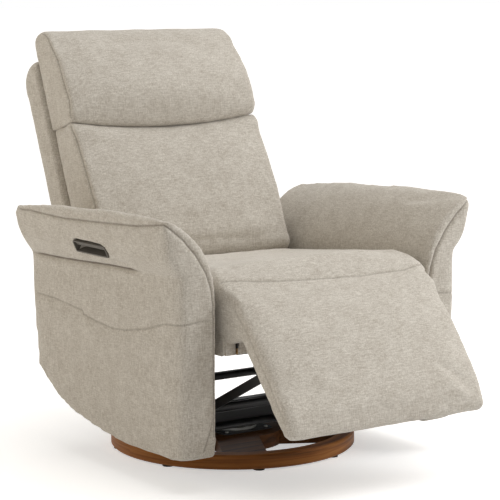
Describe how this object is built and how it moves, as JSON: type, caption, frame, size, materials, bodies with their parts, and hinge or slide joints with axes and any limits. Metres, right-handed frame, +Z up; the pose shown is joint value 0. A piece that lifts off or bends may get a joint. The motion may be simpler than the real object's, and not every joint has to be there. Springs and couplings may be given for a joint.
{
  "type": "swivel glider recliner",
  "caption": "Upholstered recliner on a round wooden swivel base: it turns, glides to and fro, leans back and lifts a footrest, with flared rolled arms.",
  "frame": {"origin": "on the swivel axis at floor level", "axes": "+Z up, the sitter faces -Y, X across the seat"},
  "size_m": [0.925, 1.1855, 1.0255],
  "materials": {
    "upholstery": "heathered chenille weave",
    "walnut": "satin walnut stain",
    "plywood": "plain plywood and softwood",
    "black_steel": "black powder coat",
    "plain_steel": "zinc plated",
    "dark_plastic": "fine textured",
    "dust_cloth": "thin non-woven cloth",
    "webbing": "elastic webbing",
    "floor_pad": "soft matt"
  },
  "bodies": {
    "base": {"floor_glides": "floor_pad", "base_ring": "walnut", "base_spokes": "walnut", "base_hub": "walnut", "base_screws": "plain_steel", "swivel_lower_plate": "black_steel", "bearing_lower_race": "plain_steel", "bearing_cage": "dark_plastic"},
    "carriage": {"bearing_upper_race": "plain_steel", "swivel_upper_plate": "black_steel", "carriage_bars": "black_steel", "glide_tower_left": "black_steel", "glide_tower_right": "black_steel", "glide_pins_upper": "plain_steel"},
    "front_swing": {"swing_link_front_left": "black_steel", "swing_link_front_right": "black_steel"},
    "rear_swing": {"swing_link_rear_left": "black_steel", "swing_link_rear_right": "black_steel"},
    "chassis": {"glide_rail_left": "black_steel", "glide_rail_right": "black_steel", "glide_pins_lower": "plain_steel", "chassis_tube_front": "black_steel", "chassis_tube_rear": "black_steel", "chassis_plate_left": "black_steel", "chassis_plate_right": "black_steel", "chassis_bolts": "plain_steel", "arm_frame_left": "plywood", "arm_frame_right": "plywood", "arm_left": "upholstery", "arm_right": "upholstery", "lever_bezel": "dark_plastic"},
    "lever": {"release_lever": "dark_plastic"},
    "seat": {"seat_frame": "plywood", "seat_webbing": "webbing", "seat_border": "upholstery", "seat_cushion": "upholstery", "dust_cover": "dust_cloth", "seat_plate_left": "black_steel", "seat_plate_right": "black_steel", "seat_pins": "plain_steel", "footrest_plate_left": "black_steel", "footrest_plate_right": "black_steel", "hinge_pins": "plain_steel"},
    "back": {"back_board": "plywood", "back_shell": "upholstery", "back_cushion": "upholstery", "headrest_cushion": "upholstery", "back_plate_left": "black_steel", "back_plate_right": "black_steel", "guide_studs": "plain_steel"},
    "footrest": {"footrest_arm_left": "black_steel", "footrest_arm_right": "black_steel", "footrest_board": "plywood", "footrest_pad": "upholstery"},
    "crank": {"drive_crank_left": "black_steel", "drive_crank_right": "black_steel", "drive_tube": "black_steel"},
    "link": {"drive_link_left": "black_steel", "drive_link_right": "black_steel", "link_pins": "plain_steel"}
  },
  "joints": [
    {"name": "swivel", "type": "hinge", "parent": "base", "child": "carriage", "pos_m": [0, 0, 0.052], "axis": [0, 0, 1], "continuous": true},
    {"name": "glide", "type": "hinge", "parent": "carriage", "child": "front_swing", "pos_m": [0, -0.07, 0.235], "axis": [1, 0, 0], "range_deg": [-25, 25]},
    {"name": "rear_swing_pivot", "type": "hinge", "parent": "carriage", "child": "rear_swing", "pos_m": [0, 0.15, 0.235], "axis": [1, 0, 0], "range_deg": [-25, 25]},
    {"name": "chassis_pivot", "type": "hinge", "parent": "front_swing", "child": "chassis", "pos_m": [0, -0.07, 0.125], "axis": [1, 0, 0], "range_deg": [-25, 25]},
    {"name": "seat_slide", "type": "slide", "parent": "chassis", "child": "seat", "axis": [0, -1, 0], "range_m": [-0.0105, 0.0489]},
    {"name": "recline", "type": "hinge", "parent": "seat", "child": "back", "pos_m": [0, 0.255, 0.4], "axis": [-1, 0, 0], "range_deg": [-6, 28]},
    {"name": "footrest_open", "type": "hinge", "parent": "seat", "child": "footrest", "pos_m": [0, -0.395, 0.405], "axis": [-1, 0, 0], "range_deg": [-38, 48]},
    {"name": "drive_crank", "type": "hinge", "parent": "seat", "child": "crank", "pos_m": [0, -0.19, 0.3], "axis": [-1, 0, 0], "range_deg": [-38, 48]},
    {"name": "drive_link", "type": "hinge", "parent": "crank", "child": "link", "pos_m": [0, -0.2711, 0.17224], "axis": [-1, 0, 0], "range_deg": [-48, 38]},
    {"name": "release", "type": "hinge", "parent": "chassis", "child": "lever", "pos_m": [-0.44204, -0.05, 0.54621], "axis": [0, 1, 0], "range_deg": [0, 25], "stiffness_Nm_per_rad": 0.05, "springref_deg": -5.73}
  ],
  "couplings": [
    {"joint": "rear_swing_pivot", "follows": "glide", "ratio": 1},
    {"joint": "chassis_pivot", "follows": "glide", "ratio": -1},
    {"joint": "seat_slide", "follows": "recline", "m_per_rad": 0.1},
    {"joint": "drive_crank", "follows": "footrest_open", "ratio": 1},
    {"joint": "drive_link", "follows": "footrest_open", "ratio": -1}
  ]
}
